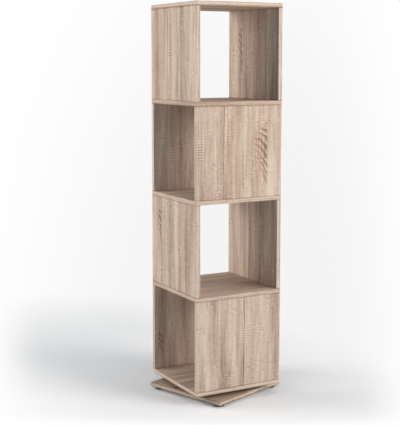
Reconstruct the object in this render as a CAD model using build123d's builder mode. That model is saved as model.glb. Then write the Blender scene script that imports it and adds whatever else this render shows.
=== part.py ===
from build123d import *

import math
import os

# Revolving bookcase: a square tower of four open tiers that turns on a square base plate.
# Millimetres, +Z up. The origin is on the floor, on the swivel axis. At rest the tower's
# front faces -Y, its left side faces -X, and the base plate is turned under it.

# Tower
tower_side = 340.0  # outside of every board, and width of every panel
board_thickness = 15.0  # one stock for boards and panels
clear_height = 320.0  # inside height of a tier, room for an upright lever-arch file
tier_count = 4
edge_break = 0.6  # chamfer that eases the edging

# Dowels between boards and panels, two at each end of a panel
dowel_diameter = 8.0
dowel_length = 30.0
dowel_in_board = 10.0
dowel_spacing = 216.0
dowel_clearance = 0.1  # glue film around a dowel
dowel_relief = 1.0  # glue room past the end of a dowel

# Base plate
base_side = 336.0
base_thickness = 15.0
base_turn = 19.3  # degrees from the tower at rest, counter-clockwise seen from above
access_hole_diameter = 13.0  # way in for the driver that turns the upper swivel screws

# Feet, round plastic glides with a plug that is knocked into the base plate
foot_diameter = 40.0
foot_height = 9.0
foot_bevel = 2.0
foot_inset = 27.0  # foot centre to the edge of the base plate
plug_diameter = 10.0
plug_length = 10.0
plug_clearance = 0.1
plug_relief = 0.5

# Swivel: two dished steel plates that roll on caged balls and turn on a rivet
plate_side = 180.0
plate_sheet = 2.0
plate_corner = 8.0  # clipped corner
plate_gap = 3.0  # between the dished middles
dish_angle = 45.0  # slope of a dish's wall, which the balls lean on
ball_diameter = 9.5
ball_clearance = 0.25  # ball to each plate
ball_circle_diameter = 120.0
ball_count = 10
cage_width = 18.0
cage_sheet = 1.8
cage_clearance = 0.2  # ball to the wall of its pocket
rivet_diameter = 12.0
rivet_head_diameter = 20.0
rivet_head_height = 1.5
rivet_clearance = 0.1
rivet_play = 0.3  # upper head above the upper plate

# Pan-head screws of the swivel
screw_diameter = 4.0
screw_length = 12.0
screw_head_diameter = 8.0
screw_head_height = 2.4
screw_inset = 14.0  # screw centre to the edge of a swivel plate
screw_clearance = 0.1
screw_relief = 0.8  # pilot hole past the tip of a screw

# The small bores, dowels, plugs and screws that the joints hide repeat many times, so their
# rounds are drawn with few sides
hidden_sides = 8

# Levels above the floor
swivel_height = ball_diameter + 2 * (ball_clearance + plate_sheet)
base_bottom = foot_height
base_top = base_bottom + base_thickness
ball_level = base_top + swivel_height / 2
tower_bottom = base_top + swivel_height
tier_pitch = board_thickness + clear_height

# Places and planes that several pieces share
panel_offset = (tower_side - board_thickness) / 2  # panel centre to the swivel axis
foot_spacing = base_side - 2 * foot_inset
screw_spacing = plate_side - 2 * screw_inset
screw_circle_radius = screw_spacing / math.sqrt(2)
dowel_in_panel = dowel_length - dowel_in_board

os.makedirs("parts", exist_ok=True)


def save(piece, label):
    """Name a finished piece and write it."""
    piece.part.label = label
    export_step(piece.part, f"parts/{label}.step")


def level(height, turn=0.0):
    """Horizontal plane at a height, facing up, turned about the swivel axis."""
    return Plane.XY.offset(height).rotated((0, 0, turn))


def level_down(height, turn=0.0):
    """Horizontal plane at a height, facing down, turned about the swivel axis."""
    return Plane((0, 0, height), x_dir=level(height, turn).x_dir, z_dir=(0, 0, -1))


def few_sided(diameter):
    """A hidden round of few sides, as wide across its flats as the round."""
    RegularPolygon(diameter / 2, hidden_sides, major_radius=False, rotation=180 / hidden_sides)


def corners(span_x, span_y):
    """The four corners of a rectangle round the swivel axis."""
    return GridLocations(span_x, span_y, 2, 2)


def foot_places():
    """Places of the feet under the base plate."""
    return corners(foot_spacing, foot_spacing)


def screw_places():
    """Places of a swivel plate's four screws."""
    return corners(screw_spacing, screw_spacing)


def dowel_places(tier):
    """Places of the dowels in a tier's two panels.

    Odd tiers, counted from 1 at the bottom, are closed at the front and back, and even
    tiers at the left and right.
    """
    across = 2 * panel_offset
    return corners(dowel_spacing, across) if tier % 2 else corners(across, dowel_spacing)


def bore(face, places, diameter, depth):
    """Cut hidden bores into the piece at hand, down from the face's plane."""
    with BuildSketch(face) as mouths:
        with places:
            few_sided(diameter)
    extrude(mouths.sketch, amount=-depth, mode=Mode.SUBTRACT)


def bore_screws(face, depth):
    """Cut the holes of a swivel plate's four screws."""
    bore(face, screw_places(), screw_diameter + 2 * screw_clearance, depth)


def bore_dowels(tier, face, depth):
    """Cut the holes of a tier's dowels on one level."""
    bore(face, dowel_places(tier), dowel_diameter + 2 * dowel_clearance, depth + dowel_relief)


lower_flange = level(base_top, base_turn)
upper_flange = level_down(tower_bottom)
pilot_depth = screw_length - plate_sheet + screw_relief

# Base plate, with holes for the swivel screws and the feet, and the access hole
with BuildPart() as base_plate:
    with BuildSketch(level(base_bottom, base_turn)):
        Rectangle(base_side, base_side)
    extrude(amount=base_thickness)
    chamfer(base_plate.edges(), edge_break)
    bore_screws(lower_flange, pilot_depth)
    underside = level_down(base_bottom, base_turn)
    bore(underside, foot_places(), plug_diameter + 2 * plug_clearance, plug_length + plug_relief)
    with Locations(lower_flange):
        with Locations((screw_circle_radius, 0)):
            Hole(access_hole_diameter / 2)
save(base_plate, "base_plate")

# Feet, at the corners that their names give
foot_signs = {"back_right": (1, 1), "back_left": (-1, 1), "front_left": (-1, -1), "front_right": (1, -1)}
for corner, (sign_x, sign_y) in foot_signs.items():
    place = (sign_x * foot_spacing / 2, sign_y * foot_spacing / 2)
    with BuildPart() as foot:
        with BuildSketch(level(0, base_turn)):
            with Locations(place):
                Circle(foot_diameter / 2)
        extrude(amount=foot_height)
        chamfer(foot.edges().group_by(Axis.Z)[0], foot_bevel)
        with BuildSketch(level(foot_height, base_turn)):
            with Locations(place):
                few_sided(plug_diameter)
        extrude(amount=plug_length)
    save(foot, f"foot_{corner}")

# Swivel plates: a square flange, dished inside the balls, which roll in the corner between
# the flange and the dish's wall
race_radius = ball_diameter / 2 + ball_clearance
half_bend = math.tan(math.radians(dish_angle / 2))
dish_depth = race_radius - plate_gap / 2
dish_foot_radius = ball_circle_diameter / 2 - race_radius * half_bend
dish_top_radius = dish_foot_radius - dish_depth / math.tan(math.radians(dish_angle))
dish_bend = plate_sheet * half_bend  # shift of the dish's hidden side


def swivel_plate(label, flange):
    """A swivel plate on a plane whose normal points from the flange to the balls."""
    section = Plane(flange.origin, x_dir=flange.x_dir, z_dir=-flange.y_dir)
    axis = Axis(flange.origin, flange.z_dir)
    with BuildPart() as plate:
        with BuildSketch(flange):
            Rectangle(plate_side, plate_side)
        extrude(amount=plate_sheet)
        chamfer(plate.edges().filter_by(Axis.Z), plate_corner)
        with BuildSketch(section):
            with BuildLine():
                Polyline(
                    (0, plate_sheet),
                    (dish_foot_radius, plate_sheet),
                    (dish_top_radius, plate_sheet + dish_depth),
                    (0, plate_sheet + dish_depth),
                    close=True,
                )
            make_face()
        revolve(axis=axis)
        with BuildSketch(section):
            with BuildLine():
                Polyline(
                    (0, 0),
                    (dish_foot_radius - dish_bend, 0),
                    (dish_top_radius - dish_bend, dish_depth),
                    (0, dish_depth),
                    close=True,
                )
            make_face()
        revolve(axis=axis, mode=Mode.SUBTRACT)
        bore_screws(flange.offset(plate_sheet), plate_sheet)
        with Locations(flange):
            Hole(rivet_diameter / 2 + rivet_clearance)
    save(plate, label)


def swivel_screws(label, seat):
    """The four screws of a swivel plate, heads on the seat and points against its normal."""
    with BuildPart() as screws:
        with BuildSketch(seat):
            with screw_places():
                few_sided(screw_head_diameter)
        extrude(amount=screw_head_height)
        with BuildSketch(seat):
            with screw_places():
                few_sided(screw_diameter)
        extrude(amount=-screw_length)
    save(screws, label)


swivel_plate("swivel_lower_plate", lower_flange)
swivel_plate("swivel_upper_plate", upper_flange)
swivel_screws("swivel_lower_screws", lower_flange.offset(plate_sheet))
swivel_screws("swivel_upper_screws", upper_flange.offset(plate_sheet))

# Rivet, closed tight on the lower plate and with play above the upper one
rivet_bottom = base_top + dish_depth
rivet_top = tower_bottom - dish_depth + rivet_play
with BuildPart() as rivet:
    with BuildSketch(level(rivet_bottom), level_down(rivet_top)):
        Circle(rivet_head_diameter / 2)
    extrude(amount=-rivet_head_height)
    with BuildSketch(level(rivet_bottom)):
        Circle(rivet_diameter / 2)
    extrude(amount=rivet_top - rivet_bottom)
save(rivet, "swivel_rivet")

# Ball cage, a flat ring with a pocket for each ball
with BuildPart() as cage:
    with BuildSketch(level(ball_level - cage_sheet / 2)):
        Circle((ball_circle_diameter + cage_width) / 2)
        Circle((ball_circle_diameter - cage_width) / 2, mode=Mode.SUBTRACT)
    extrude(amount=cage_sheet)
    with BuildSketch(level(ball_level - cage_sheet / 2)) as pockets:
        with PolarLocations(ball_circle_diameter / 2, ball_count):
            few_sided(ball_diameter + 2 * cage_clearance)
    extrude(pockets.sketch, amount=cage_sheet, mode=Mode.SUBTRACT)
save(cage, "ball_cage")

# Balls, each drawn with 26 flats: a cube whose edges are cut back until every flat of the
# six sides and twelve edges touches the ball
with BuildPart() as ball:
    Box(ball_diameter, ball_diameter, ball_diameter)
    chamfer(ball.edges(), ball_diameter * (1 - math.sqrt(0.5)))
with BuildPart() as balls:
    with Locations(level(ball_level)):
        with PolarLocations(ball_circle_diameter / 2, ball_count):
            add(ball.part)
save(balls, "swivel_balls")

# Boards of the tower, drilled for the panels above and below them
for index in range(tier_count + 1):
    underside = tower_bottom + index * tier_pitch
    with BuildPart() as board:
        with BuildSketch(level(underside)):
            Rectangle(tower_side, tower_side)
        extrude(amount=board_thickness)
        chamfer(board.edges(), edge_break)
        if index < tier_count:
            bore_dowels(index + 1, level(underside + board_thickness), dowel_in_board)
        if index > 0:
            bore_dowels(index, level_down(underside), dowel_in_board)
        else:
            bore_screws(upper_flange, pilot_depth)
    save(board, {0: "bottom_board", tier_count: "top_board"}.get(index, f"shelf_{index}"))

# Panels and dowels of each tier
front_places = {"front": (0, -panel_offset), "back": (0, panel_offset)}
side_places = {"left": (-panel_offset, 0), "right": (panel_offset, 0)}
for tier in range(1, tier_count + 1):
    floor = tower_bottom + (tier - 1) * tier_pitch + board_thickness
    ceiling = floor + clear_height
    closed_front = tier % 2 == 1
    places = front_places if closed_front else side_places
    outline = (tower_side, board_thickness) if closed_front else (board_thickness, tower_side)
    for side, place in places.items():
        with BuildPart() as panel:
            with BuildSketch(level(floor)):
                with Locations(place):
                    Rectangle(*outline)
            extrude(amount=clear_height)
            chamfer(panel.edges().filter_by(Axis.Z), edge_break)
            bore_dowels(tier, level_down(floor), dowel_in_panel)
            bore_dowels(tier, level(ceiling), dowel_in_panel)
        save(panel, f"tier_{tier}_{side}_panel")
    with BuildPart() as dowels:
        for start in (floor - dowel_in_board, ceiling - dowel_in_panel):
            with BuildSketch(level(start)):
                with dowel_places(tier):
                    few_sided(dowel_diameter)
            extrude(amount=dowel_length)
    save(dowels, f"tier_{tier}_dowels")
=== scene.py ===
import math

import bpy
import numpy as np
from bpy.props import FloatProperty, FloatVectorProperty, IntProperty, PointerProperty
from mathutils import Euler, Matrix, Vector


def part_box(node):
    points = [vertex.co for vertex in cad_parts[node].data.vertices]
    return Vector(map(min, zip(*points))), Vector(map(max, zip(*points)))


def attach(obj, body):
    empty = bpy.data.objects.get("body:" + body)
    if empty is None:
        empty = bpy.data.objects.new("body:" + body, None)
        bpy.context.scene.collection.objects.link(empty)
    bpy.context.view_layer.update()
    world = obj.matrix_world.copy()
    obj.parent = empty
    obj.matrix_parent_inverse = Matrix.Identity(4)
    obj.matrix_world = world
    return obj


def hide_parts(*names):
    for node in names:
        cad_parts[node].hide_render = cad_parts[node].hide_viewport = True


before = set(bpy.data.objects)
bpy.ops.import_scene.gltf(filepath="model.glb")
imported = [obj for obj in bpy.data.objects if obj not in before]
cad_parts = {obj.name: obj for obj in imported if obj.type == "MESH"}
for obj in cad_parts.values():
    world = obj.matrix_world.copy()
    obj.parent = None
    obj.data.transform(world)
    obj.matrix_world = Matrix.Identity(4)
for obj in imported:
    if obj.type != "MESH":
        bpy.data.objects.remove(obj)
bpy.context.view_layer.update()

bl_info = {
    "name": "Revolving bookcase",
    "version": (1, 0, 0),
    "blender": (4, 5, 0),
    "location": "3D View > Sidebar > Bookcase",
    "description": "Dresses a revolving bookcase of oak decor board on a ball swivel, and its stage",
    "category": "Object",
}

MM = 0.001
WHITE = (1.0, 1.0, 1.0, 1.0)


def linear(hex_code):
    """An sRGB hex colour such as #c8b19f as a linear RGBA tuple."""
    parts = [int(hex_code[at:at + 2], 16) / 255 for at in (1, 3, 5)]
    return tuple(p / 12.92 if p <= 0.04045 else ((p + 0.055) / 1.055) ** 2.4 for p in parts) + (1.0,)


def colour(name, hex_code, description):
    """A colour property with its sRGB default."""
    return FloatVectorProperty(name=name, description=description, subtype="COLOR", size=4, min=0, max=1,
                               default=linear(hex_code))


def length(name, millimetres, description):
    """A length property with its default in millimetres."""
    return FloatProperty(name=name, description=description, default=millimetres * MM, min=0,
                         unit="LENGTH", precision=4)


class OakProperties(bpy.types.PropertyGroup):
    """The print on the boards and panels, and the painted shade drawn with it."""

    # The darkest stop also draws the painted shade in the joint lines
    seam: colour("Seam", "#8a6f5e", "Plank seams, flames and joint lines")
    dark: colour("Dark grain", "#a78673", "Darkest streaks")
    middle: colour("Middle grain", "#ba9e8b", "Streaks between the dark and the pale ones")
    pale: colour("Pale grain", "#cdb4a1", "Main tone of the boards")
    light: colour("Light grain", "#e2cdb9", "Lightest streaks and saw marks")
    sap_dark: colour("Dark sapwood", "#86705f", "Darkest tone of the yellowish sapwood bands")
    sap_middle: colour("Middle sapwood", "#b69f8b", "Middle tone of the sapwood bands")
    sap_light: colour("Light sapwood", "#e0cdb8", "Lightest tone of the sapwood bands")
    band_width: length("Band width", 70, "Width of a broad tone band")
    band_length: length("Band length", 2500, "Length of a broad tone band")
    streak_width: length("Streak width", 36, "Width of a streak, which holds narrower ones")
    streak_length: length("Streak length", 650, "Length of a streak along the grain")
    fine_width: length("Fine grain width", 4.5, "Width of a fine grain line")
    fine_length: length("Fine grain length", 95, "Length of a fine grain line")
    pore_width: length("Pore width", 3.2, "Width of an open pore, drawn to show")
    pore_length: length("Pore length", 85, "Length of an open pore")
    saw_pitch: length("Saw mark pitch", 9, "Distance between saw marks along the grain")
    seam_width: length("Seam width", 3.2, "Width of a printed plank seam")
    # The joint line is a glue line with painted shade of the joint's gap
    joint_width: length("Joint line", 3.6, "Width of the line where a board meets a panel, drawn to show")


class FittingProperties(bpy.types.PropertyGroup):
    """Feet and swivel."""

    plastic: colour("Foot plastic", "#17181b", "Black polypropylene of the feet")
    zinc: colour("Zinc", "#b9bab8", "Zinc plate on the swivel plates, rivet and screws")
    ball_steel: colour("Ball steel", "#d4d4d6", "Polished bearing steel")
    nylon: colour("Nylon", "#d8d3c6", "Undyed nylon of the ball cage")
    beech: colour("Beech", "#cfa878", "Beech of the dowels")
    base_turn: FloatProperty(name="Base turn", description="Base plate's turn from the tower at rest",
                             default=math.radians(19.3), subtype="ANGLE")
    foot_rim: length("Foot rim", 2.0, "Rounding of a foot's lower rim")
    plug_radius: length("Plug radius", 5.0, "Plug of a foot")
    ball_count: IntProperty(name="Balls", description="Balls in the swivel", default=10, min=3)
    screw_head: length("Screw head", 8.0, "Diameter of a pan head")
    screw_crown: length("Screw crown", 2.4, "Height of a pan head")
    screw_shank: length("Screw shank", 4.0, "Diameter of a screw's shank")
    screw_length: length("Screw length", 12.0, "Length of a screw below its head")
    rivet_head: length("Rivet head", 20.0, "Diameter of a rivet head")
    rivet_rim: length("Rivet rim", 1.5, "Height of a rivet head")
    rivet_shank: length("Rivet shank", 12.0, "Diameter of the rivet's shank")


class StageProperties(bpy.types.PropertyGroup):
    """Floor, lamps and camera."""

    floor: colour("Floor", "#eceff2", "Pale studio floor")
    bounce: colour("Floor bounce", "#c8ced4", "How much light the floor throws back on the object")
    lift: FloatProperty(name="Floor lift", default=0.083,
                        description="Brightness that the camera sees added to the floor")
    floor_radius: FloatProperty(name="Floor radius", description="Half the floor's width", default=9.0,
                                unit="LENGTH")
    fade_start: FloatProperty(name="Fade start", default=0.29, unit="LENGTH",
                              description="Where the floor starts to fade into the backdrop")
    fade_end: FloatProperty(name="Fade end", description="Where the floor is all faded", default=0.88,
                            unit="LENGTH")
    fade_behind: FloatProperty(name="Fade behind", default=0.18, unit="LENGTH",
                               description="How far behind the object the fade has its middle")
    fade_turn: FloatProperty(name="Fade turn", default=math.radians(-8.2), subtype="ANGLE",
                             description="Turn of the oval in which the floor keeps its shadows")
    # The backdrop colour is painted shade behind the object
    backdrop: colour("Backdrop", "#f4f4f4", "Shade of the backdrop behind the object, which fades to white")
    sky: FloatProperty(name="Sky light", description="Strength of the light from the horizon", default=0.5)
    sky_tint: colour("Sky tint", "#c4ecff", "Cool light from the horizon")
    lamp_tint: colour("Lamp tint", "#fff6f0", "Slightly warm light of the lamps")
    key: FloatProperty(name="Key lamp", description="Lamp at the front right", default=166.0, unit="POWER")
    side: FloatProperty(name="Side lamp", description="Lamp at the back left", default=134.0, unit="POWER")
    top: FloatProperty(name="Top lamp", description="Lamp overhead", default=120.0, unit="POWER")
    lens: FloatProperty(name="Lens", description="Focal length, in millimetres", default=86.64)
    camera: FloatVectorProperty(name="Camera", description="Place of the camera", subtype="XYZ",
                                unit="LENGTH", default=(-1.8075, -3.1785, 1.19))
    camera_turn: FloatProperty(name="Camera turn", description="Turn to the right of the front's normal",
                               default=math.radians(28.757), subtype="ANGLE")
    camera_tilt: FloatProperty(name="Camera tilt", description="Tilt down from the level",
                               default=math.radians(7.065), subtype="ANGLE")
    shift: FloatProperty(name="Shift", description="Upward shift of the frame", default=-0.055)


# Nodes and materials


def add(tree, kind, inputs=None, **settings):
    """Add a node, set its properties, then set or link its inputs; returns its outputs."""
    made = tree.nodes.new(kind)
    for name, value in settings.items():
        setattr(made, name, value)
    for key, value in (inputs or {}).items():
        if isinstance(value, bpy.types.NodeSocket):
            tree.links.new(value, made.inputs[key])
        else:
            made.inputs[key].default_value = value
    return made.outputs


def new_material(name):
    """An empty material and its node tree."""
    material = bpy.data.materials.new(name)
    material.use_nodes = True
    material.node_tree.nodes.clear()
    return material, material.node_tree


def dress(node, material):
    """Give a CAD node a material in place of its packed one."""
    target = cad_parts[node]
    target.data.materials.clear()
    target.data.materials.append(material)


# What the print and its painted shade take on each board, with all lengths in millimetres

OAK_DECOR = "rough-sawn oak decor"
ABSENT = 999.0  # place across the grain of a feature that a board lacks
NO_JOINT = 99.0  # distance to a joint that a face lacks
EDGING_DEPTH = 0.5  # thickness of the edging
PRINT_AND_SHADE_INPUTS = (
    ("grain", "NodeSocketVector", (0, 0, 0)),  # across, along and through the grain
    ("edge", "NodeSocketFloat", 0.0),  # 1 on the edging
    ("edging", "NodeSocketFloat", 0.13),  # how much paler the edging is: its own tone, with a painted highlight
    ("joint", "NodeSocketFloat", NO_JOINT),  # distance to the nearest joint
    ("seed", "NodeSocketFloat", 0.0),
    ("tone", "NodeSocketFloat", 0.0),  # paler above 0
    ("inside", "NodeSocketFloat", 0.0),  # 1 on faces that look into a tier
    ("inner_shade_grey", "NodeSocketFloat", 0.0),  # painted shade: how much greyer those faces are drawn
    ("seam", "NodeSocketFloat", ABSENT),  # where two planks meet
    ("seam_depth", "NodeSocketFloat", 1.0),
    ("sap", "NodeSocketFloat", ABSENT),  # middle of a sapwood band
    ("second_sap", "NodeSocketFloat", ABSENT),
    ("flame", "NodeSocketVector", (ABSENT, 0, 1)),  # its cut side across, its middle along, half its length
    ("flame_width", "NodeSocketFloat", 20.0),
    ("flame_depth", "NodeSocketFloat", 0.0),
    ("ladder", "NodeSocketVector", (ABSENT, 0, 1)),  # its middle across and along, half its length
)

# How the print is drawn, with lengths in millimetres

WANDER = 16.0  # how far the grain wanders to and fro
WANDER_WIDTH = 80.0  # width over which it wanders as one
WANDER_LENGTH = 230.0  # length over which it wanders once
LAYER_DEPTH = 6.0  # depth through the board over which the grain changes
PLANK_STEP = 5.3  # layers of grain between one plank and the next
FIBRE = (6.0, 8.0)  # width and length of the finest mottle
PORE_EDGES = (-0.12, -0.24)  # noise at which a pore starts and is full
SAW_PATCH = (30.0, 60.0)  # width and length of a patch of saw marks
SAW_PATCH_EDGES = (-0.02, 0.2)  # noise at which a patch starts and is full
SAW_LEAST = 0.15  # saw marks outside the patches
SAW_WIDTH = 22.0  # width of an uneven saw mark
SAW_DEPTH = 4.0  # uneven saw marks against an even ladder
LADDER_EDGES = (20.0, 13.0)  # half the ladder's width, with and without its soft sides
LADDER_END = 4.0  # half the ladder's length at full depth
LADDER_SWAY = 9.0  # how far the rungs rise and fall across the bands, in radians
SEAM_CORE = 0.5  # half the width of a seam's darkest line
SEAM_LEAST = 0.35  # depth of a seam where it is faint
SEAM_FINE = (0.15, -0.15)  # fine grain at which a seam is faint and full
JOINT_CORE = 0.8  # width of a joint's darkest line
SAP_EDGES = (34.0, 12.0)  # half the width of a sapwood band, with and without its soft sides
SECOND_SAP_EDGES = (28.0, 10.0)
TINT_LENGTH = 1400.0  # length of the yellowish tints between the bands
TINT_EDGES = (-0.1, 0.3)  # noise at which a tint starts and is full
TINT_MOST = 0.5
TONE_MIDDLE = 0.7  # place of a plain board on the ramp of tones

# How a flame is drawn, with lengths in millimetres. A share runs from -1 at its foot to 1 at its tip

FLAME_TIP = (1.0, 0.6)  # shares at which its tip starts and has its full width
FLAME_FOOT = (-1.0, 0.25)  # shares at which its foot starts and has its full width
FLAME_CUT = -4.0  # depth past the cut at which the strokes would be darkest
FLAME_LEAN = (0.011, -1.4)  # how the slant of the strokes grows with the height, and the slant in the middle
FLAME_WOBBLE = 34.0  # how far the strokes wave
FLAME_WAVE = (40.0, 45.0)  # width and length of a wave
FLAME_NICK = 2.0  # how far a saw patch shifts the strokes
FLAME_PITCH = 30.0  # distance between strokes
STROKE_THICKENING = -1.5  # how much thicker the strokes get towards the cut
STROKE_THINNING = 0.5  # how much thinner they get towards the tip
STROKE_MIDDLE = 0.5
STROKE_FULL = 0.95
STROKE_LEAST = 0.15  # darkness between the strokes
STROKE_GRAIN = -1.6  # how far the fine grain breaks the strokes up


def close_to(tree, value, centre, edges):
    """1 near the centre and 0 away from it, softly: edges are the distances at which it is 0 and 1."""
    off = add(tree, "ShaderNodeMath", {0: value, 1: centre}, operation="SUBTRACT")[0]
    off = add(tree, "ShaderNodeMath", {0: off}, operation="ABSOLUTE")[0]
    return add(tree, "ShaderNodeMapRange", {"Value": off, "From Min": edges[0], "From Max": edges[1]},
               interpolation_type="SMOOTHSTEP")[0]


def flame_strokes(tree, given, bent, along, fine, patch):
    """Darkness of a flame: slanting strokes, flat at the top and steep below, that a seam cuts in half.

    A stroke is a sine of the height plus the lean times the distance from the cut. The flame's width is a
    tent over its length, and the strokes darken and thicken towards the cut.
    """
    cut, centre, half = add(tree, "ShaderNodeSeparateXYZ", {0: given["flame"]})
    side = add(tree, "ShaderNodeMath", {0: cut, 1: bent}, operation="SUBTRACT")[0]
    inside = add(tree, "ShaderNodeMath", {0: side, 1: 0.0}, operation="GREATER_THAN")[0]
    up = add(tree, "ShaderNodeMath", {0: along, 1: centre}, operation="SUBTRACT")[0]
    share = add(tree, "ShaderNodeMath", {0: up, 1: half}, operation="DIVIDE")[0]
    tip = add(tree, "ShaderNodeMapRange", {"Value": share, "From Min": FLAME_TIP[0],
                                           "From Max": FLAME_TIP[1]})[0]
    foot = add(tree, "ShaderNodeMapRange", {"Value": share, "From Min": FLAME_FOOT[0],
                                            "From Max": FLAME_FOOT[1]})[0]
    tent = add(tree, "ShaderNodeMath", {0: tip, 1: foot}, operation="MINIMUM")[0]
    wide = add(tree, "ShaderNodeMath", {0: tent, 1: given["flame_width"]}, operation="MULTIPLY")[0]
    near = add(tree, "ShaderNodeMapRange", {"Value": side, "From Min": wide, "From Max": FLAME_CUT})[0]
    lean = add(tree, "ShaderNodeMath", {0: up, 1: FLAME_LEAN[0], 2: FLAME_LEAN[1]},
               operation="MULTIPLY_ADD")[0]
    slant = add(tree, "ShaderNodeMath", {0: side, 1: lean, 2: up}, operation="MULTIPLY_ADD")[0]
    wave = add(tree, "ShaderNodeCombineXYZ", {
        "X": add(tree, "ShaderNodeMath", {0: side, 1: 1 / FLAME_WAVE[0]}, operation="MULTIPLY")[0],
        "Y": add(tree, "ShaderNodeMath", {0: up, 1: 1 / FLAME_WAVE[1]}, operation="MULTIPLY")[0],
        "Z": centre,
    })[0]
    wave = add(tree, "ShaderNodeTexNoise", {"Vector": wave, "Scale": 1.0, "Detail": 1.0})[0]
    for part, reach in ((wave, FLAME_WOBBLE), (patch, FLAME_NICK)):
        slant = add(tree, "ShaderNodeMath", {0: part, 1: reach, 2: slant}, operation="MULTIPLY_ADD")[0]
    stroke = add(tree, "ShaderNodeMath", {0: slant, 1: 2 * math.pi / FLAME_PITCH}, operation="MULTIPLY")[0]
    stroke = add(tree, "ShaderNodeMath", {0: stroke}, operation="SINE")[0]
    # Thin far from the cut, and nearly run together beside it
    thin = add(tree, "ShaderNodeMath", {0: near, 1: STROKE_THICKENING, 2: STROKE_MIDDLE},
               operation="MULTIPLY_ADD")[0]
    thin = add(tree, "ShaderNodeMath", {0: share, 1: STROKE_THINNING, 2: thin}, operation="MULTIPLY_ADD")[0]
    stroke = add(tree, "ShaderNodeMapRange", {"Value": stroke, "From Min": thin, "From Max": STROKE_FULL,
                                              "To Min": STROKE_LEAST}, interpolation_type="SMOOTHSTEP")[0]
    stroke = add(tree, "ShaderNodeMath", {0: fine, 1: STROKE_GRAIN, 2: stroke}, operation="MULTIPLY_ADD")[0]
    for factor in (inside, near, given["flame_depth"]):
        stroke = add(tree, "ShaderNodeMath", {0: stroke, 1: factor}, operation="MULTIPLY")[0]
    return stroke


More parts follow.
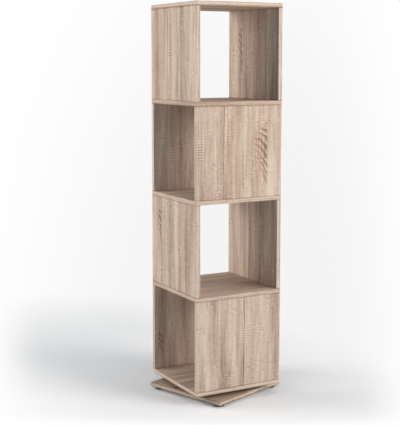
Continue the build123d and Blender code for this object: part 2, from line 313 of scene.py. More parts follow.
def oak_group(oak):
    """Rough-sawn oak decor: a print of narrow planks on melamine-faced board.

    The eye sees long streaks along the grain in close pinkish tones, a yellowish sapwood band, a thin dark
    seam where two planks meet, short ladders of saw marks across the grain, and here and there a flame,
    the slanting dark strokes of a cathedral grain that a seam cuts in half.
    """
    # Besides the print, the group draws painted shade: greyer faces inside the tiers, shade in the joint
    # lines and a highlight on the edging
    tree = bpy.data.node_groups.new(OAK_DECOR, "ShaderNodeTree")
    for name, kind, default in PRINT_AND_SHADE_INPUTS:
        tree.interface.new_socket(name, in_out="INPUT", socket_type=kind).default_value = default
    tree.interface.new_socket("Color", in_out="OUTPUT", socket_type="NodeSocketColor")
    tree.interface.new_socket("Height", in_out="OUTPUT", socket_type="NodeSocketFloat")
    given = add(tree, "NodeGroupInput")
    across, along, through = add(tree, "ShaderNodeSeparateXYZ", {0: given["grain"]})

    # The grain wanders to and fro
    slow = add(tree, "ShaderNodeCombineXYZ", {
        "X": add(tree, "ShaderNodeMath", {0: across, 1: 1 / WANDER_WIDTH}, operation="MULTIPLY")[0],
        "Y": add(tree, "ShaderNodeMath", {0: along, 1: 1 / WANDER_LENGTH}, operation="MULTIPLY")[0],
        "Z": given["seed"],
    })[0]
    wander = add(tree, "ShaderNodeTexNoise", {"Vector": slow, "Scale": 1.0, "Detail": 2.0})[0]
    wander = add(tree, "ShaderNodeMath", {0: wander, 1: 0.5}, operation="SUBTRACT")[0]
    bent = add(tree, "ShaderNodeMath", {0: wander, 1: WANDER, 2: across}, operation="MULTIPLY_ADD")[0]

    # Each plank has its own grain
    plank = add(tree, "ShaderNodeMath", {0: bent, 1: given["seam"]}, operation="GREATER_THAN")[0]
    layer = add(tree, "ShaderNodeMath", {0: through, 1: 1 / LAYER_DEPTH, 2: given["seed"]},
                operation="MULTIPLY_ADD")[0]
    layer = add(tree, "ShaderNodeMath", {0: plank, 1: PLANK_STEP, 2: layer}, operation="MULTIPLY_ADD")[0]

    def streaks(width, run, layers_on, detail=1.0, roughness=0.5):
        """Noise about 0, drawn out along the grain, from a layer of its own."""
        vector = add(tree, "ShaderNodeCombineXYZ", {
            "X": add(tree, "ShaderNodeMath", {0: bent, 1: MM / width}, operation="MULTIPLY")[0],
            "Y": add(tree, "ShaderNodeMath", {0: along, 1: MM / run}, operation="MULTIPLY")[0],
            "Z": add(tree, "ShaderNodeMath", {0: layer, 1: layers_on}, operation="ADD")[0],
        })[0]
        noise = add(tree, "ShaderNodeTexNoise", {"Vector": vector, "Scale": 1.0, "Detail": detail,
                                                 "Roughness": roughness})[0]
        return add(tree, "ShaderNodeMath", {0: noise, 1: 0.5}, operation="SUBTRACT")[0]

    bands = streaks(oak.band_width, oak.band_length, 0.0, detail=0.0)
    broad = streaks(oak.streak_width, oak.streak_length, 3.1, detail=4.0, roughness=0.63)
    dark = add(tree, "ShaderNodeMath", {0: broad, 1: 0.0}, operation="MINIMUM")[0]
    fine = streaks(oak.fine_width, oak.fine_length, 7.7, detail=2.0, roughness=0.6)
    fibre = streaks(FIBRE[0] * MM, FIBRE[1] * MM, 23.3)
    # Open pores: dark hairlines, drawn about ten times as wide as they are so that they show
    pores = streaks(oak.pore_width, oak.pore_length, 41.3)
    pores = add(tree, "ShaderNodeMapRange", {"Value": pores, "From Min": PORE_EDGES[0],
                                             "From Max": PORE_EDGES[1]}, interpolation_type="SMOOTHSTEP")[0]

    # Saw marks: uneven rungs across the grain, strongest in patches, and one even ladder where it is placed
    patch = streaks(SAW_PATCH[0] * MM, SAW_PATCH[1] * MM, 19.9)
    patch = add(tree, "ShaderNodeMapRange", {
        "Value": patch, "From Min": SAW_PATCH_EDGES[0], "From Max": SAW_PATCH_EDGES[1], "To Min": SAW_LEAST,
    }, interpolation_type="SMOOTHSTEP")[0]
    uneven = streaks(SAW_WIDTH * MM, oak.saw_pitch / 2, 31.7)
    uneven = add(tree, "ShaderNodeMath", {0: uneven, 1: patch}, operation="MULTIPLY")[0]
    spot = add(tree, "ShaderNodeSeparateXYZ", {0: given["ladder"]})
    placed = add(tree, "ShaderNodeMath", {
        0: close_to(tree, bent, spot[0], LADDER_EDGES),
        1: close_to(tree, along, spot[1], (spot[2], LADDER_END)),
    }, operation="MULTIPLY")[0]
    rung = add(tree, "ShaderNodeMath", {0: along, 1: 2 * math.pi * MM / oak.saw_pitch},
               operation="MULTIPLY")[0]
    rung = add(tree, "ShaderNodeMath", {0: bands, 1: LADDER_SWAY, 2: rung}, operation="MULTIPLY_ADD")[0]
    rung = add(tree, "ShaderNodeMath", {0: rung}, operation="SINE")[0]
    saw = add(tree, "ShaderNodeMath", {0: rung, 1: placed}, operation="MULTIPLY")[0]
    saw = add(tree, "ShaderNodeMath", {0: uneven, 1: SAW_DEPTH, 2: saw}, operation="MULTIPLY_ADD")[0]

    # Seam: a thin dark line, now stronger, now weaker
    seam = close_to(tree, bent, given["seam"], (oak.seam_width / MM, SEAM_CORE))
    faint = add(tree, "ShaderNodeMapRange", {"Value": fine, "From Min": SEAM_FINE[0],
                                             "From Max": SEAM_FINE[1], "To Min": SEAM_LEAST})[0]
    for factor in (faint, given["seam_depth"]):
        seam = add(tree, "ShaderNodeMath", {0: seam, 1: factor}, operation="MULTIPLY")[0]

    flame = flame_strokes(tree, given, bent, along, fine, patch)

    # Joint line: a glue line with painted shade of the gap where a board meets a panel, too thin to show at
    # its true width, so drawn coarser
    joint = add(tree, "ShaderNodeMapRange", {"Value": given["joint"], "From Min": oak.joint_width / MM,
                                             "From Max": JOINT_CORE}, interpolation_type="SMOOTHSTEP")[0]

    # Paler edging: its own tone, with a painted highlight where a rounded arris would catch the light
    edging = add(tree, "ShaderNodeMath", {0: given["edge"], 1: given["edging"]}, operation="MULTIPLY")[0]
    sap = add(tree, "ShaderNodeMath", {0: close_to(tree, bent, given["sap"], SAP_EDGES),
                                       1: close_to(tree, bent, given["second_sap"], SECOND_SAP_EDGES)},
              operation="MAXIMUM")[0]

    # One tone from all of it, paler above and darker below
    tone = add(tree, "ShaderNodeMath", {0: given["tone"], 1: TONE_MIDDLE}, operation="ADD")[0]
    # Each part with the tone that a whole step of it adds
    for part, weight in ((bands, 0.26), (broad, 1.45), (dark, 0.8), (fine, 0.62), (fibre, 0.3),
                         (pores, -0.2), (saw, 0.22), (sap, 0.09), (seam, -0.45), (flame, -0.9),
                         (edging, 1.0), (joint, -0.36)):
        tone = add(tree, "ShaderNodeMath", {0: part, 1: weight, 2: tone}, operation="MULTIPLY_ADD")[0]

    # The tone's colour on a pinkish ramp and on the sapwood's yellowish one
    shades = []
    for stops in ((oak.seam, oak.dark, oak.middle, oak.pale, oak.light),
                  (oak.sap_dark, oak.sap_middle, oak.sap_light)):
        ramp = add(tree, "ShaderNodeValToRGB", {"Fac": tone})["Color"]
        elements = ramp.node.color_ramp.elements
        for place, shade in enumerate(stops):
            stop = elements[place] if place < len(elements) else elements.new(1.0)
            stop.color = shade
        for place, stop in enumerate(elements):
            stop.position = place / (len(stops) - 1)
        shades.append(ramp)
    tint = streaks(oak.band_width / 2, TINT_LENGTH * MM, 13.1)
    tint = add(tree, "ShaderNodeMapRange", {"Value": tint, "From Min": TINT_EDGES[0],
                                            "From Max": TINT_EDGES[1], "To Max": TINT_MOST},
               interpolation_type="SMOOTHSTEP")[0]
    tint = add(tree, "ShaderNodeMath", {0: tint, 1: sap}, operation="MAXIMUM")[0]
    mixed = add(tree, "ShaderNodeMix", {0: tint, 6: shades[0], 7: shades[1]}, data_type="RGBA")[2]
    # Painted shade: faces that look into a tier lose some colour, as the shade inside a tier greys them
    grey = add(tree, "ShaderNodeMath", {0: given["inside"], 1: given["inner_shade_grey"]}, operation="MULTIPLY")[0]
    strength = add(tree, "ShaderNodeMath", {0: 1.0, 1: grey}, operation="SUBTRACT")[0]
    print_and_shade = add(tree, "ShaderNodeHueSaturation", {"Color": mixed, "Saturation": strength})[0]
    add(tree, "NodeGroupOutput", {"Color": print_and_shade, "Height": tone})
    return tree


def oak_material(node, order, features, turn=0.0):
    """Oak decor on one board, with order as the axes across, along and through the grain.

    turn is the board's own turn about the upright axis.
    """
    low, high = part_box(node)
    upright = order[1] == "Z"
    # Half a board's side: a turned square's box is wider by the sum of the turn's cosine and sine
    half = (max(high.x, high.y) if upright else high.x / (math.cos(turn) + math.sin(turn))) / MM
    material, tree = new_material("oak decor, " + node.replace("_", " "))
    place = add(tree, "ShaderNodeTexCoord")["Object"]
    place = add(tree, "ShaderNodeMapping", {"Vector": place, "Rotation": (0, 0, -turn),
                                            "Scale": (1 / MM,) * 3})[0]
    axes = dict(zip("XYZ", add(tree, "ShaderNodeSeparateXYZ", {0: place})))
    across, along, through = (axes[axis] for axis in order)
    edges = []
    for axis in "XY":
        off = add(tree, "ShaderNodeMath", {0: axes[axis]}, operation="ABSOLUTE")[0]
        edges.append(add(tree, "ShaderNodeMath", {0: off, 1: half - EDGING_DEPTH},
                         operation="GREATER_THAN")[0])
    up = add(tree, "ShaderNodeMath", {0: axes["Z"], 1: low.z / MM}, operation="SUBTRACT")[0]
    down = add(tree, "ShaderNodeMath", {0: high.z / MM, 1: axes["Z"]}, operation="SUBTRACT")[0]
    joint = add(tree, "ShaderNodeMath", {0: up, 1: down}, operation="MINIMUM")[0]
    if upright:
        # A panel: edging on its two upright edges, joints at its ends, its inner face nearer to the axis
        across = add(tree, "ShaderNodeMath", {0: across, 1: -1.0 if order[0] == "Y" else 1.0},
                     operation="MULTIPLY")[0]
        edge = edges["XY".index(order[0])]
        grain = add(tree, "ShaderNodeCombineXYZ", {"X": across, "Y": along, "Z": through})[0]
        middle = max(abs(part) for part in (low + high)[:2]) / 2 / MM
        inside = add(tree, "ShaderNodeMath", {0: through}, operation="ABSOLUTE")[0]
        inside = add(tree, "ShaderNodeMath", {0: inside, 1: middle}, operation="LESS_THAN")[0]
    else:
        # A square board: edging all round with its grain along the edge, joints above and below the edging
        edge = add(tree, "ShaderNodeMath", {0: edges[0], 1: edges[1]}, operation="MAXIMUM")[0]
        flat = add(tree, "ShaderNodeCombineXYZ", {"X": across, "Y": along, "Z": through})[0]
        turned = add(tree, "ShaderNodeCombineXYZ", {"X": along, "Y": across, "Z": through})[0]
        grain = add(tree, "ShaderNodeMix", {0: edges[0], 4: flat, 5: turned}, data_type="VECTOR")[1]
        inside = add(tree, "ShaderNodeMath", {0: 1.0, 1: edge}, operation="SUBTRACT")[0]
        joint = add(tree, "ShaderNodeMath", {0: inside, 1: NO_JOINT, 2: joint}, operation="MULTIPLY_ADD")[0]
    decor = bpy.data.node_groups.get(OAK_DECOR) or oak_group(bpy.context.scene.bookcase_oak)
    print_and_shade = add(tree, "ShaderNodeGroup", {"grain": grain, "edge": edge, "inside": inside, "joint": joint,
                                            **features}, node_tree=decor)
    # The pressed face is matt, and its relief follows the print
    bump = add(tree, "ShaderNodeBump", {"Height": print_and_shade["Height"], "Strength": 0.2,
                                        "Distance": 0.3 * MM})[0]
    shader = add(tree, "ShaderNodeBsdfPrincipled", {"Base Color": print_and_shade["Color"], "Normal": bump,
                                                    "Roughness": 0.66, "Specular IOR Level": 0.12})[0]
    add(tree, "ShaderNodeOutputMaterial", {"Surface": shader})
    return material


def pattern_material(name, base, dark, grain_mm, bump_mm, inputs, stretch=(1, 1, 1)):
    """A finish with one noise in its tone and relief: its two colours, grain size, relief and stretch."""
    material, tree = new_material(name)
    place = add(tree, "ShaderNodeTexCoord")["Object"]
    place = add(tree, "ShaderNodeMapping", {"Vector": place, "Scale": stretch})[0]
    noise = add(tree, "ShaderNodeTexNoise", {"Vector": place, "Scale": 1 / (grain_mm * MM), "Detail": 3.0})[0]
    # Most of the noise lies between 0.3 and 0.7
    shade = add(tree, "ShaderNodeMapRange", {"Value": noise, "From Min": 0.3, "From Max": 0.7})[0]
    mixed = add(tree, "ShaderNodeMix", {0: shade, 6: dark, 7: base}, data_type="RGBA")[2]
    bump = add(tree, "ShaderNodeBump", {"Height": noise, "Strength": 0.3, "Distance": bump_mm * MM})[0]
    shader = add(tree, "ShaderNodeBsdfPrincipled", {"Base Color": mixed, "Normal": bump, **inputs})[0]
    add(tree, "ShaderNodeOutputMaterial", {"Surface": shader})
    return material


def darker(shade, share):
    """A colour times a share, with its alpha kept."""
    return tuple(part * share for part in shade[:3]) + (1.0,)


# The backdrop's grey oval of painted shade and the floor's track that leads up to it, with aside as metres
# per metre away

GREY_MIDDLE = 0.08  # how far aside the grey has its middle
GREY_LEFT = -2.85  # how fast it fades to the left
GREY_RIGHT = 6.1  # and to the right
GREY_RISE = 1.6  # and upwards
GREY_EDGES = (0.35, 0.95)  # distances from the middle at which it starts to fade and is white
GREY_BELOW = 0.33  # how far below the level the grey has its middle
TRACK_LEFT = 0.055  # metres that the track lies left of the axis
TRACK_START = 3.65  # metres from the track's start to the axis
TRACK_LEAST = 1.1  # metres from its start within which it doesn't narrow
TRACK_DROP = 1.127  # metres that the floor lies below the level from which the grey is reckoned
TRACK_SIDES = (0.218, 0.158)  # how far aside the paint is gone and full
TRACK_FRONT = (-0.46, -0.23)  # metres behind the axis at which the paint is gone and full


def fading_grey(tree, aside, ahead, height, stage):
    """The backdrop's grey, a painted shade, which fades to white away from its middle, faster on the right.
    """
    off = add(tree, "ShaderNodeMath", {0: aside, 1: GREY_MIDDLE}, operation="SUBTRACT")[0]
    left = add(tree, "ShaderNodeMath", {0: off, 1: GREY_LEFT}, operation="MULTIPLY")[0]
    right = add(tree, "ShaderNodeMath", {0: off, 1: GREY_RIGHT}, operation="MULTIPLY")[0]
    across = add(tree, "ShaderNodeMath", {0: left, 1: right}, operation="MAXIMUM")[0]
    above = add(tree, "ShaderNodeMath", {0: height, 1: GREY_RISE}, operation="MULTIPLY")[0]
    away = add(tree, "ShaderNodeCombineXYZ", {"X": across, "Y": ahead, "Z": above})[0]
    away = add(tree, "ShaderNodeVectorMath", {0: away}, operation="LENGTH")["Value"]
    away = add(tree, "ShaderNodeMapRange", {"Value": away, "From Min": GREY_EDGES[0],
                                            "From Max": GREY_EDGES[1]}, interpolation_type="SMOOTHSTEP")[0]
    return add(tree, "ShaderNodeMix", {0: away, 6: stage.backdrop, 7: WHITE}, data_type="RGBA")[2]


def seen_rays(tree):
    """1 for rays by which the camera, metal or glass sees the stage, and 0 for its light on the object."""
    path = add(tree, "ShaderNodeLightPath")
    seen = add(tree, "ShaderNodeMath", {0: path["Is Camera Ray"], 1: path["Is Glossy Ray"]},
               operation="MAXIMUM")[0]
    return add(tree, "ShaderNodeMath", {0: seen, 1: path["Is Transmission Ray"]}, operation="MAXIMUM")[0]


# Surfaces


def lathe(radius, height, steps):
    """A closed surface of revolution: points (r cos a, r sin a, z) for a profile (r, z) and an angle a.

    The profile runs from the lower pole to the upper one without the poles, which sit on the axis at the
    heights of its ends. height may vary with the angle, as an array of one row per profile point.
    """
    radius = np.asarray(radius, float)[:, None]
    angle = np.linspace(0, 2 * np.pi, steps, endpoint=False)[None, :]
    height = np.broadcast_to(np.asarray(height, float).reshape(len(radius), -1), (len(radius), steps))
    rings = np.stack((radius * np.cos(angle), radius * np.sin(angle), height), axis=-1)
    poles = np.array([(0, 0, height[0].mean()), (0, 0, height[-1].mean())])
    count = len(radius) * steps
    index = np.arange(count).reshape(len(radius), steps)
    after = np.roll(index, -1, axis=1)
    side = np.stack((index[:-1], after[:-1], after[1:], index[:-1], after[1:], index[1:]), axis=-1)
    bottom = np.stack((np.full(steps, count), after[0], index[0]), axis=-1)
    top = np.stack((np.full(steps, count + 1), index[-1], after[-1]), axis=-1)
    return np.vstack((rings.reshape(-1, 3), poles)), np.vstack((side.reshape(-1, 3), bottom, top))


def arc(centre, radius, start, end, steps=6):
    """Profile points on an arc, from one angle to the other, in degrees from the outward direction."""
    angle = np.radians(np.linspace(start, end, steps))
    return np.stack((centre[0] + radius * np.cos(angle), centre[1] + radius * np.sin(angle)), axis=-1)


def piece(name, points, faces, places, body, slot, material, *nodes):
    """Make one mesh object with a copy of the surface at each place, riding on a body."""
    places = np.asarray(places, float).reshape(-1, 1, 3)
    every = (points[None] + places).reshape(-1, 3)
    offsets = (np.arange(len(places)) * len(points)).reshape(-1, 1, 1)
    mesh = bpy.data.meshes.new(name)
    mesh.from_pydata(every.tolist(), [], (faces[None] + offsets).reshape(-1, 3).tolist())
    mesh.shade_smooth()
    mesh.set_sharp_from_angle(angle=math.radians(35))
    mesh.materials.append(material)
    made = bpy.data.objects.new(name, mesh)
    bpy.context.scene.collection.objects.link(made)
    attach(made, body)
    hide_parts(*nodes)


# Where the print's features fall on each board, and how much painted shade each takes

PANEL_PRINT_AND_SHADE = {
    "tier_1_front_panel": {"seed": 130.5, "tone": 0.03, "seam": 21, "seam_depth": 1.8, "sap": -140,
                           "ladder": (36, 240, 55)},
    "tier_1_back_panel": {"seed": 255.8, "inner_shade_grey": 0.07, "seam": 40, "flame": (-135, 156, 56),
                          "flame_width": 36, "flame_depth": 0.7},
    "tier_2_left_panel": {"seed": 47.8, "tone": 0.01, "seam": -26, "sap": -65, "second_sap": 13,
                          "flame": (-95, 602, 74), "flame_width": 42, "flame_depth": 1.15},
    "tier_2_right_panel": {"seed": 411.4, "tone": 0.06, "inner_shade_grey": 0.12, "seam": -24, "sap": 60,
                           "ladder": (-50, 556, 20)},
    "tier_3_front_panel": {"seed": 387.7, "tone": 0.05, "seam": -64, "sap": 22, "second_sap": 127,
                           "ladder": (-155, 897, 70), "flame": (110, 872, 118), "flame_width": 68,
                           "flame_depth": 1.0},
    "tier_3_back_panel": {"seed": 366.9, "inner_shade_grey": 0.1, "seam": -40, "ladder": (-97, 865, 18)},
    "tier_4_left_panel": {"seed": 118.6, "tone": 0.05, "seam": -39, "seam_depth": 1.6, "sap": 85,
                          "ladder": (-20, 1220, 24)},
    "tier_4_right_panel": {"seed": 381.9, "tone": -0.02, "inner_shade_grey": 0.16, "seam": 90, "sap": -125,
                           "second_sap": 105, "ladder": (20, 1254, 18), "flame": (-76, 1226, 104),
                           "flame_width": 38, "flame_depth": 1.1},
}
BOARD_PRINT_AND_SHADE = {
    "bottom_board": {"seed": 11.3, "inner_shade_grey": 0.12, "seam": 70},
    "shelf_1": {"seed": 12.1, "tone": -0.04, "inner_shade_grey": 0.12, "seam": -30, "sap": 60},
    "shelf_2": {"seed": 13.7, "inner_shade_grey": 0.12, "seam": 55},
    "shelf_3": {"seed": 14.9, "tone": -0.16, "edging": 0.24, "inner_shade_grey": 0.15, "seam": -80},
    "top_board": {"seed": 15.1, "seam": 20, "sap": -90, "ladder": (80, 40, 40)},
}
# The base plate is drawn darker all over as painted shade of the tower above it, its edging much paler again
# where the light falls, and its faces greyer as painted shade
BASE_PRINT_AND_SHADE = {"seed": 16.3, "tone": -0.46, "edging": 0.35, "inner_shade_grey": 0.14, "seam": 45, "sap": -150,
              "second_sap": 145}


# Operators


class BOOKCASE_OT_panels(bpy.types.Operator):
    """Dress the upright panels, with the grain upright"""

    bl_idname = "bookcase.panels"
    bl_label = "Panels"

    def execute(self, context):
        for node, features in PANEL_PRINT_AND_SHADE.items():
            low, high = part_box(node)
            dress(node, oak_material(node, "XZY" if high.x - low.x > high.y - low.y else "YZX", features))
        return {"FINISHED"}


class BOOKCASE_OT_boards(bpy.types.Operator):
    """Dress the square boards of the tower, with the grain along the front"""

    bl_idname = "bookcase.boards"
    bl_label = "Boards"

    def execute(self, context):
        for node, features in BOARD_PRINT_AND_SHADE.items():
            dress(node, oak_material(node, "YXZ", features))
        return {"FINISHED"}


class BOOKCASE_OT_base_plate(bpy.types.Operator):
    """Dress the base plate, with the grain along its own side and painted shade of the tower above it"""

    bl_idname = "bookcase.base_plate"
    bl_label = "Base plate"

    def execute(self, context):
        turn = context.scene.bookcase_fittings.base_turn
        dress("base_plate", oak_material("base_plate", "YXZ", BASE_PRINT_AND_SHADE, turn))
        return {"FINISHED"}


class BOOKCASE_OT_feet(bpy.types.Operator):
    """Make the four round feet, glides of black polypropylene with a plug"""

    bl_idname = "bookcase.feet"
    bl_label = "Feet"

    def execute(self, context):
        fittings = context.scene.bookcase_fittings
        # Moulded polypropylene: near black, satin, with the faint grain of an eroded mould, drawn coarse
        plastic = pattern_material("black polypropylene, moulded", fittings.plastic,
                                   darker(fittings.plastic, 0.6), 1.2, 0.05, {"Roughness": 0.48, "IOR": 1.49})
        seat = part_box("base_plate")[0].z
        rim, plug = fittings.foot_rim, fittings.plug_radius
        eased, chamfer = 0.4 * rim, 0.6 * rim
        for node in ("foot_back_right", "foot_back_left", "foot_front_left", "foot_front_right"):
            low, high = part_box(node)
            radius = (high.x - low.x) / 2
            # Sole, rounded lower rim, side, eased upper rim, seat and chamfered plug
            profile = np.vstack((
                [(0.35 * radius, 0.0), (radius - 1.6 * rim, 0.0)],
                arc((radius - rim, rim), rim, -75, 0),
                [(radius, seat - chamfer)],
                arc((radius - eased, seat - eased), eased, 0, 90, 4),
                [(plug, seat), (plug, high.z - rim), (plug - chamfer, high.z)],
            ))
            points, faces = lathe(profile[:, 0], profile[:, 1], 64)
            middle = (low + high) / 2
            piece(f"{node}_glide", points, faces, (middle.x, middle.y, 0), "base", "black_plastic", plastic,
                  node)
        return {"FINISHED"}


class BOOKCASE_OT_swivel(bpy.types.Operator):
    """Dress the swivel plates and make the rivet, screws and balls between them"""

    bl_idname = "bookcase.swivel"
    bl_label = "Swivel"

    def execute(self, context):
        fittings = context.scene.bookcase_fittings
        # Zinc plate on pressed sheet: a cool grey metal with a soft cloudy spangle
        zinc = pattern_material("zinc-plated steel, pressed", fittings.zinc, darker(fittings.zinc, 0.72),
                                9, 0.02, {"Metallic": 1.0, "Roughness": 0.34})
        for node in ("swivel_lower_plate", "swivel_upper_plate"):
            dress(node, zinc)
        # Undyed nylon: milky, a little translucent and slightly uneven
        nylon = pattern_material("nylon, moulded undyed", fittings.nylon, darker(fittings.nylon, 0.86),
                                 6, 0.03, {"Roughness": 0.45, "IOR": 1.53, "Subsurface Weight": 0.1})
        dress("ball_cage", nylon)
        # Bearing steel: ground and polished until it mirrors, with the faintest haze
        polished = pattern_material("bearing steel, polished", fittings.ball_steel,
                                    darker(fittings.ball_steel, 0.93), 2, 0.002,
                                    {"Metallic": 1.0, "Roughness": 0.08})
        self.make_balls(fittings, polished)
        self.make_rivet(fittings, zinc)
        self.make_screws(fittings, zinc)
        return {"FINISHED"}

    def make_balls(self, fittings, material):
        """Balls: points of a sphere by latitude and longitude, one ball in each pocket of the cage."""
        low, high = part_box("swivel_balls")
        radius = (high.z - low.z) / 2
        latitude = np.radians(np.linspace(-90, 90, 18)[1:-1])
        points, faces = lathe(radius * np.cos(latitude), radius * np.sin(latitude), 32)
        ring = high.x - radius
        turn = np.arange(fittings.ball_count) * 2 * np.pi / fittings.ball_count
        level = np.full_like(turn, (low.z + high.z) / 2)
        places = np.stack((ring * np.cos(turn), ring * np.sin(turn), level), axis=-1)
        piece("bearing_balls", points, faces, places, "ball_ring", "ball_steel", material, "swivel_balls")

    def make_rivet(self, fittings, material):
        """Rivet: a shank between two low domed heads, whose height falls as a flat ellipse does."""
        low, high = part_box("swivel_rivet")
        head, shank = fittings.rivet_head / 2, fittings.rivet_shank / 2
        rim = fittings.rivet_rim
        share = np.linspace(0.15, 1, 9)
        dome, flatness = 0.55 * rim, 0.98
        fall = dome * (1 - np.sqrt(1 - flatness * share ** 2))
        profile = np.vstack((
            np.stack((head * share, low.z + fall), axis=-1),
            [(head, low.z + rim), (shank, low.z + rim), (shank, high.z - rim), (head, high.z - rim)],
            np.stack((head * share, high.z - fall), axis=-1)[::-1],
        ))
        points, faces = lathe(profile[:, 0], profile[:, 1], 48)
        piece("pivot_rivet", points, faces, (0, 0, 0), "base", "plate_steel", material, "swivel_rivet")

    def make_screws(self, fittings, material):
        """Pan-head screws: the head's height falls from the middle to the rim as an ellipse does, and a
        cross is sunk in it, which is deepest where the distance to the nearer arm is small.
        """
        head, shank = fittings.screw_head / 2, fittings.screw_shank / 2
        tall, tip = fittings.screw_crown, -fittings.screw_length
        arm_width, sunk, steps = 0.7 * MM, 1.3 * MM, 48
        reach, run_out, rim, flatness = 0.62, 0.12, 0.55, 0.96
        angle = np.linspace(0, 2 * np.pi, steps, endpoint=False)[None, :]
        share = np.linspace(1, 0.04, 16)[:, None]
        arm = np.minimum(np.abs(np.cos(angle)), np.abs(np.sin(angle))) * share * head
        cross = np.clip(1 - (arm / arm_width) ** 6, 0, 1) * np.clip((reach - share) / run_out, 0, 1)
        crown = tall * (rim + (1 - rim) * np.sqrt(1 - flatness * share ** 2)) - sunk * cross
        stem = np.array([(0.2 * shank, tip), (0.9 * shank, tip + 1.6 * MM), (shank, tip + 2.2 * MM),
                         (shank, 0), (head, 0)])
        radius = np.concatenate((stem[:, 0], head * share[:, 0]))
        height = np.vstack((np.repeat(stem[:, 1:], steps, axis=1), crown))
        points, faces = lathe(radius, height, steps)
        flipped = points * (1, -1, -1)
        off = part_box("swivel_upper_screws")[1].x - head
        corners = np.array([(1, 1), (-1, 1), (-1, -1), (1, -1)]) * off
        turn = fittings.base_turn
        spin = np.array([(math.cos(turn), math.sin(turn)), (-math.sin(turn), math.cos(turn))])
        lower_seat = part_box("swivel_lower_screws")[1].z - tall
        upper_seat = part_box("swivel_upper_screws")[0].z + tall
        lower = np.column_stack((corners @ spin, np.full(4, lower_seat)))
        upper = np.column_stack((corners, np.full(4, upper_seat)))
        piece("lower_pan_heads", points, faces, lower, "base", "screw_steel", material,
              "swivel_lower_screws")
        piece("upper_pan_heads", flipped, faces, upper, "tower", "screw_steel", material,
              "swivel_upper_screws")


class BOOKCASE_OT_dowels(bpy.types.Operator):
    """Dress the dowels that the joints hide"""

    bl_idname = "bookcase.dowels"
    bl_label = "Dowels"

    def execute(self, context):
        beech = context.scene.bookcase_fittings.beech
        # Turned beech: warm and even, with short darker flecks along the dowel
        wood = pattern_material("beech, turned", beech, darker(beech, 0.72), 1.5, 0.05, {"Roughness": 0.6},
                                stretch=(1, 1, 0.12))
        for tier in (1, 2, 3, 4):
            dress(f"tier_{tier}_dowels", wood)
        return {"FINISHED"}


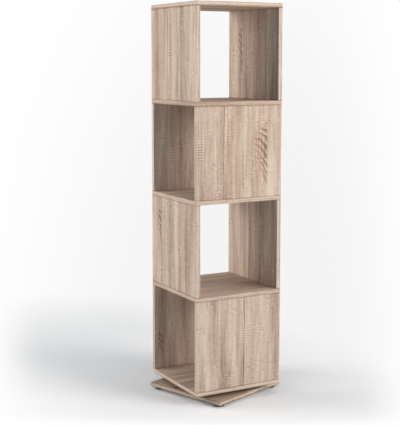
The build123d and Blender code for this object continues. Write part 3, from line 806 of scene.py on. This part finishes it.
class BOOKCASE_OT_stage(bpy.types.Operator):
    """Make the floor, the light and the camera"""

    bl_idname = "bookcase.stage"
    bl_label = "Stage"

    def execute(self, context):
        stage = context.scene.bookcase_stage
        self.make_floor(stage)
        self.make_light(stage)
        self.make_camera(stage)
        context.scene.view_settings.view_transform = "Standard"
        return {"FINISHED"}

    def make_floor(self, stage):
        """Floor: a disc of points (r cos a, r sin a, 0) that fades into the backdrop far from the object."""
        steps = 96
        turns = np.linspace(0, 2 * np.pi, steps, endpoint=False)
        ring = np.stack((np.cos(turns), np.sin(turns), np.zeros_like(turns)), axis=-1) * stage.floor_radius
        index = np.arange(steps)
        faces = np.stack((np.full(steps, steps), index, np.roll(index, -1)), axis=-1)
        mesh = bpy.data.meshes.new("studio_floor")
        mesh.from_pydata(np.vstack((ring, [(0, 0, 0)])).tolist(), [], faces.tolist())
        # Matt floor paint: an even pale grey that takes soft shadows
        material, tree = new_material("painted studio floor")
        place = add(tree, "ShaderNodeTexCoord")["Object"]
        # The paint shows in an oval, twice as long as it is wide, that holds the object's shadows
        oval = add(tree, "ShaderNodeMapping", {"Vector": place, "Rotation": (0, 0, stage.fade_turn),
                                               "Location": (0, -stage.fade_behind, 0)})[0]
        oval = add(tree, "ShaderNodeVectorMath", {0: oval, 1: (1, 0.5, 1)}, operation="MULTIPLY")[0]
        away = add(tree, "ShaderNodeVectorMath", {0: oval}, operation="LENGTH")["Value"]
        shows = add(tree, "ShaderNodeMapRange", {"Value": away, "From Min": stage.fade_end,
                                                 "From Max": stage.fade_start},
                    interpolation_type="SMOOTHSTEP")[0]
        on_track, track = self.track_shade(tree, place, stage)
        shows = add(tree, "ShaderNodeMath", {0: shows, 1: on_track}, operation="MULTIPLY")[0]
        fade = add(tree, "ShaderNodeMath", {0: 1.0, 1: shows}, operation="SUBTRACT")[0]
        # The camera sees a floor as bright as the background, which keeps its shadows; the object gets less
        # light back from it, so the tiers stay deep
        seen = seen_rays(tree)
        fade = add(tree, "ShaderNodeMath", {0: fade, 1: seen}, operation="MULTIPLY")[0]
        shade = add(tree, "ShaderNodeMix", {0: seen, 6: stage.bounce, 7: stage.floor}, data_type="RGBA")[2]
        paint = add(tree, "ShaderNodeBsdfDiffuse", {"Color": shade})[0]
        lift = add(tree, "ShaderNodeMath", {0: seen, 1: stage.lift}, operation="MULTIPLY")[0]
        lift = add(tree, "ShaderNodeEmission", {"Color": WHITE, "Strength": lift})[0]
        paint = add(tree, "ShaderNodeAddShader", {0: paint, 1: lift})[0]
        # The faded floor glows with the backdrop's painted shade
        faded = add(tree, "ShaderNodeEmission", {"Color": track, "Strength": 1.0})[0]
        mixed = add(tree, "ShaderNodeMixShader", {0: fade, 1: paint, 2: faded})[0]
        add(tree, "ShaderNodeOutputMaterial", {"Surface": mixed})
        mesh.materials.append(material)
        floor = bpy.data.objects.new("studio_floor", mesh)
        bpy.context.scene.collection.objects.link(floor)

    def track_shade(self, tree, place, stage):
        """Where a track that widens behind the object keeps the floor's paint, and the track's faded colour.

        Beside the track and in front of it the floor fades to white, and far behind it meets the backdrop's
        painted shade, which the track's faded colour carries onto the floor.
        """
        place = add(tree, "ShaderNodeMapping", {"Vector": place, "Rotation": (0, 0, stage.camera_turn),
                                                "Location": (TRACK_LEFT, 0, 0)})[0]
        sideways, behind = add(tree, "ShaderNodeSeparateXYZ", {0: place})[:2]
        reach = add(tree, "ShaderNodeMath", {0: behind, 1: TRACK_START}, operation="ADD")[0]
        reach = add(tree, "ShaderNodeMath", {0: reach, 1: TRACK_LEAST}, operation="MAXIMUM")[0]
        aside = add(tree, "ShaderNodeMath", {0: sideways, 1: reach}, operation="DIVIDE")[0]
        height = add(tree, "ShaderNodeMath", {0: -TRACK_DROP, 1: reach}, operation="DIVIDE")[0]
        height = add(tree, "ShaderNodeMath", {0: height, 1: GREY_BELOW}, operation="ADD")[0]
        beside = close_to(tree, aside, 0.0, TRACK_SIDES)
        before = add(tree, "ShaderNodeMapRange", {"Value": behind, "From Min": TRACK_FRONT[0],
                                                  "From Max": TRACK_FRONT[1]},
                     interpolation_type="SMOOTHSTEP")[0]
        on_track = add(tree, "ShaderNodeMath", {0: beside, 1: before}, operation="MULTIPLY")[0]
        ahead = add(tree, "ShaderNodeMath", {0: 1.0, 1: before}, operation="SUBTRACT")[0]
        return on_track, fading_grey(tree, aside, ahead, height, stage)

    def make_light(self, stage):
        """Light from the horizon all round, wide low lamps at the front right and back left, one overhead."""
        world = bpy.data.worlds.new("studio")
        bpy.context.scene.world = world
        world.use_nodes = True
        tree = world.node_tree
        tree.nodes.clear()
        way = add(tree, "ShaderNodeTexCoord")["Generated"]
        level = add(tree, "ShaderNodeSeparateXYZ", {0: way})[2]
        level = add(tree, "ShaderNodeMath", {0: level}, operation="ABSOLUTE")[0]
        level = add(tree, "ShaderNodeMapRange", {"Value": level, "To Min": stage.sky, "To Max": 0.0})[0]
        sky = add(tree, "ShaderNodeBackground", {"Color": stage.sky_tint, "Strength": level})[0]
        # Backdrop: a soft grey oval of painted shade behind the object, low down, and white away from it
        way = add(tree, "ShaderNodeMapping", {"Vector": way, "Rotation": (0, 0, stage.camera_turn),
                                              "Location": (0, -1, GREY_BELOW)})[0]
        shade = fading_grey(tree, *add(tree, "ShaderNodeSeparateXYZ", {0: way}), stage)
        backdrop = add(tree, "ShaderNodeBackground", {"Color": shade, "Strength": 1.0})[0]
        mixed = add(tree, "ShaderNodeMixShader", {0: seen_rays(tree), 1: sky, 2: backdrop})[0]
        add(tree, "ShaderNodeOutputWorld", {"Surface": mixed})
        # Each lamp's name, power, direction from the middle of the tower, distance and diameter
        aim = Vector((0, 0, 0.7))
        for name, power, aside, away, size in (("key_lamp", stage.key, (0.512, -0.785, 0.35), 4.5, 2.8),
                                               ("side_lamp", stage.side, (-0.83, 0.48, 0.276), 4.5, 2.8),
                                               ("top_lamp", stage.top, (0.0, -0.05, 1.0), 6.0, 3.0)):
            lamp = bpy.data.lights.new(name, "AREA")
            lamp.shape = "DISK"
            lamp.size = size
            lamp.energy = power
            lamp.color = stage.lamp_tint[:3]
            holder = bpy.data.objects.new(name, lamp)
            holder.location = aim + Vector(aside).normalized() * away
            holder.rotation_euler = (aim - holder.location).to_track_quat("-Z", "Y").to_euler()
            bpy.context.scene.collection.objects.link(holder)

    def make_camera(self, stage):
        """The photograph's viewpoint."""
        camera = bpy.data.cameras.new("camera")
        camera.sensor_width = 36.0
        camera.lens = stage.lens
        camera.shift_y = stage.shift
        holder = bpy.data.objects.new("camera", camera)
        holder.location = stage.camera
        holder.rotation_euler = Euler((math.pi / 2 - stage.camera_tilt, 0, -stage.camera_turn))
        bpy.context.scene.collection.objects.link(holder)
        bpy.context.scene.camera = holder


class VIEW3D_PT_bookcase(bpy.types.Panel):
    """The bookcase's settings and the buttons that make it"""

    bl_label = "Revolving bookcase"
    bl_space_type = "VIEW_3D"
    bl_region_type = "UI"
    bl_category = "Bookcase"

    def draw(self, context):
        for group in ("bookcase_oak", "bookcase_fittings", "bookcase_stage"):
            settings = getattr(context.scene, group)
            column = self.layout.column()
            for name in type(settings).__annotations__:
                column.prop(settings, name)
        for operator in OPERATORS:
            self.layout.operator(operator.bl_idname)


OPERATORS = (
    BOOKCASE_OT_boards,
    BOOKCASE_OT_panels,
    BOOKCASE_OT_base_plate,
    BOOKCASE_OT_feet,
    BOOKCASE_OT_swivel,
    BOOKCASE_OT_dowels,
    BOOKCASE_OT_stage,
)
CLASSES = (OakProperties, FittingProperties, StageProperties) + OPERATORS + (VIEW3D_PT_bookcase,)


def register():
    """Register the classes and hang the settings on the scene."""
    for cls in CLASSES:
        bpy.utils.register_class(cls)
    bpy.types.Scene.bookcase_oak = PointerProperty(type=OakProperties)
    bpy.types.Scene.bookcase_fittings = PointerProperty(type=FittingProperties)
    bpy.types.Scene.bookcase_stage = PointerProperty(type=StageProperties)


def unregister():
    """Take the settings off the scene and the classes out."""
    del bpy.types.Scene.bookcase_stage
    del bpy.types.Scene.bookcase_fittings
    del bpy.types.Scene.bookcase_oak
    for cls in reversed(CLASSES):
        bpy.utils.unregister_class(cls)


def main():
    register()
    bpy.ops.bookcase.boards()
    bpy.ops.bookcase.panels()
    bpy.ops.bookcase.base_plate()
    bpy.ops.bookcase.feet()
    bpy.ops.bookcase.swivel()
    bpy.ops.bookcase.dowels()
    bpy.ops.bookcase.stage()


if __name__ == "__main__":
    main()
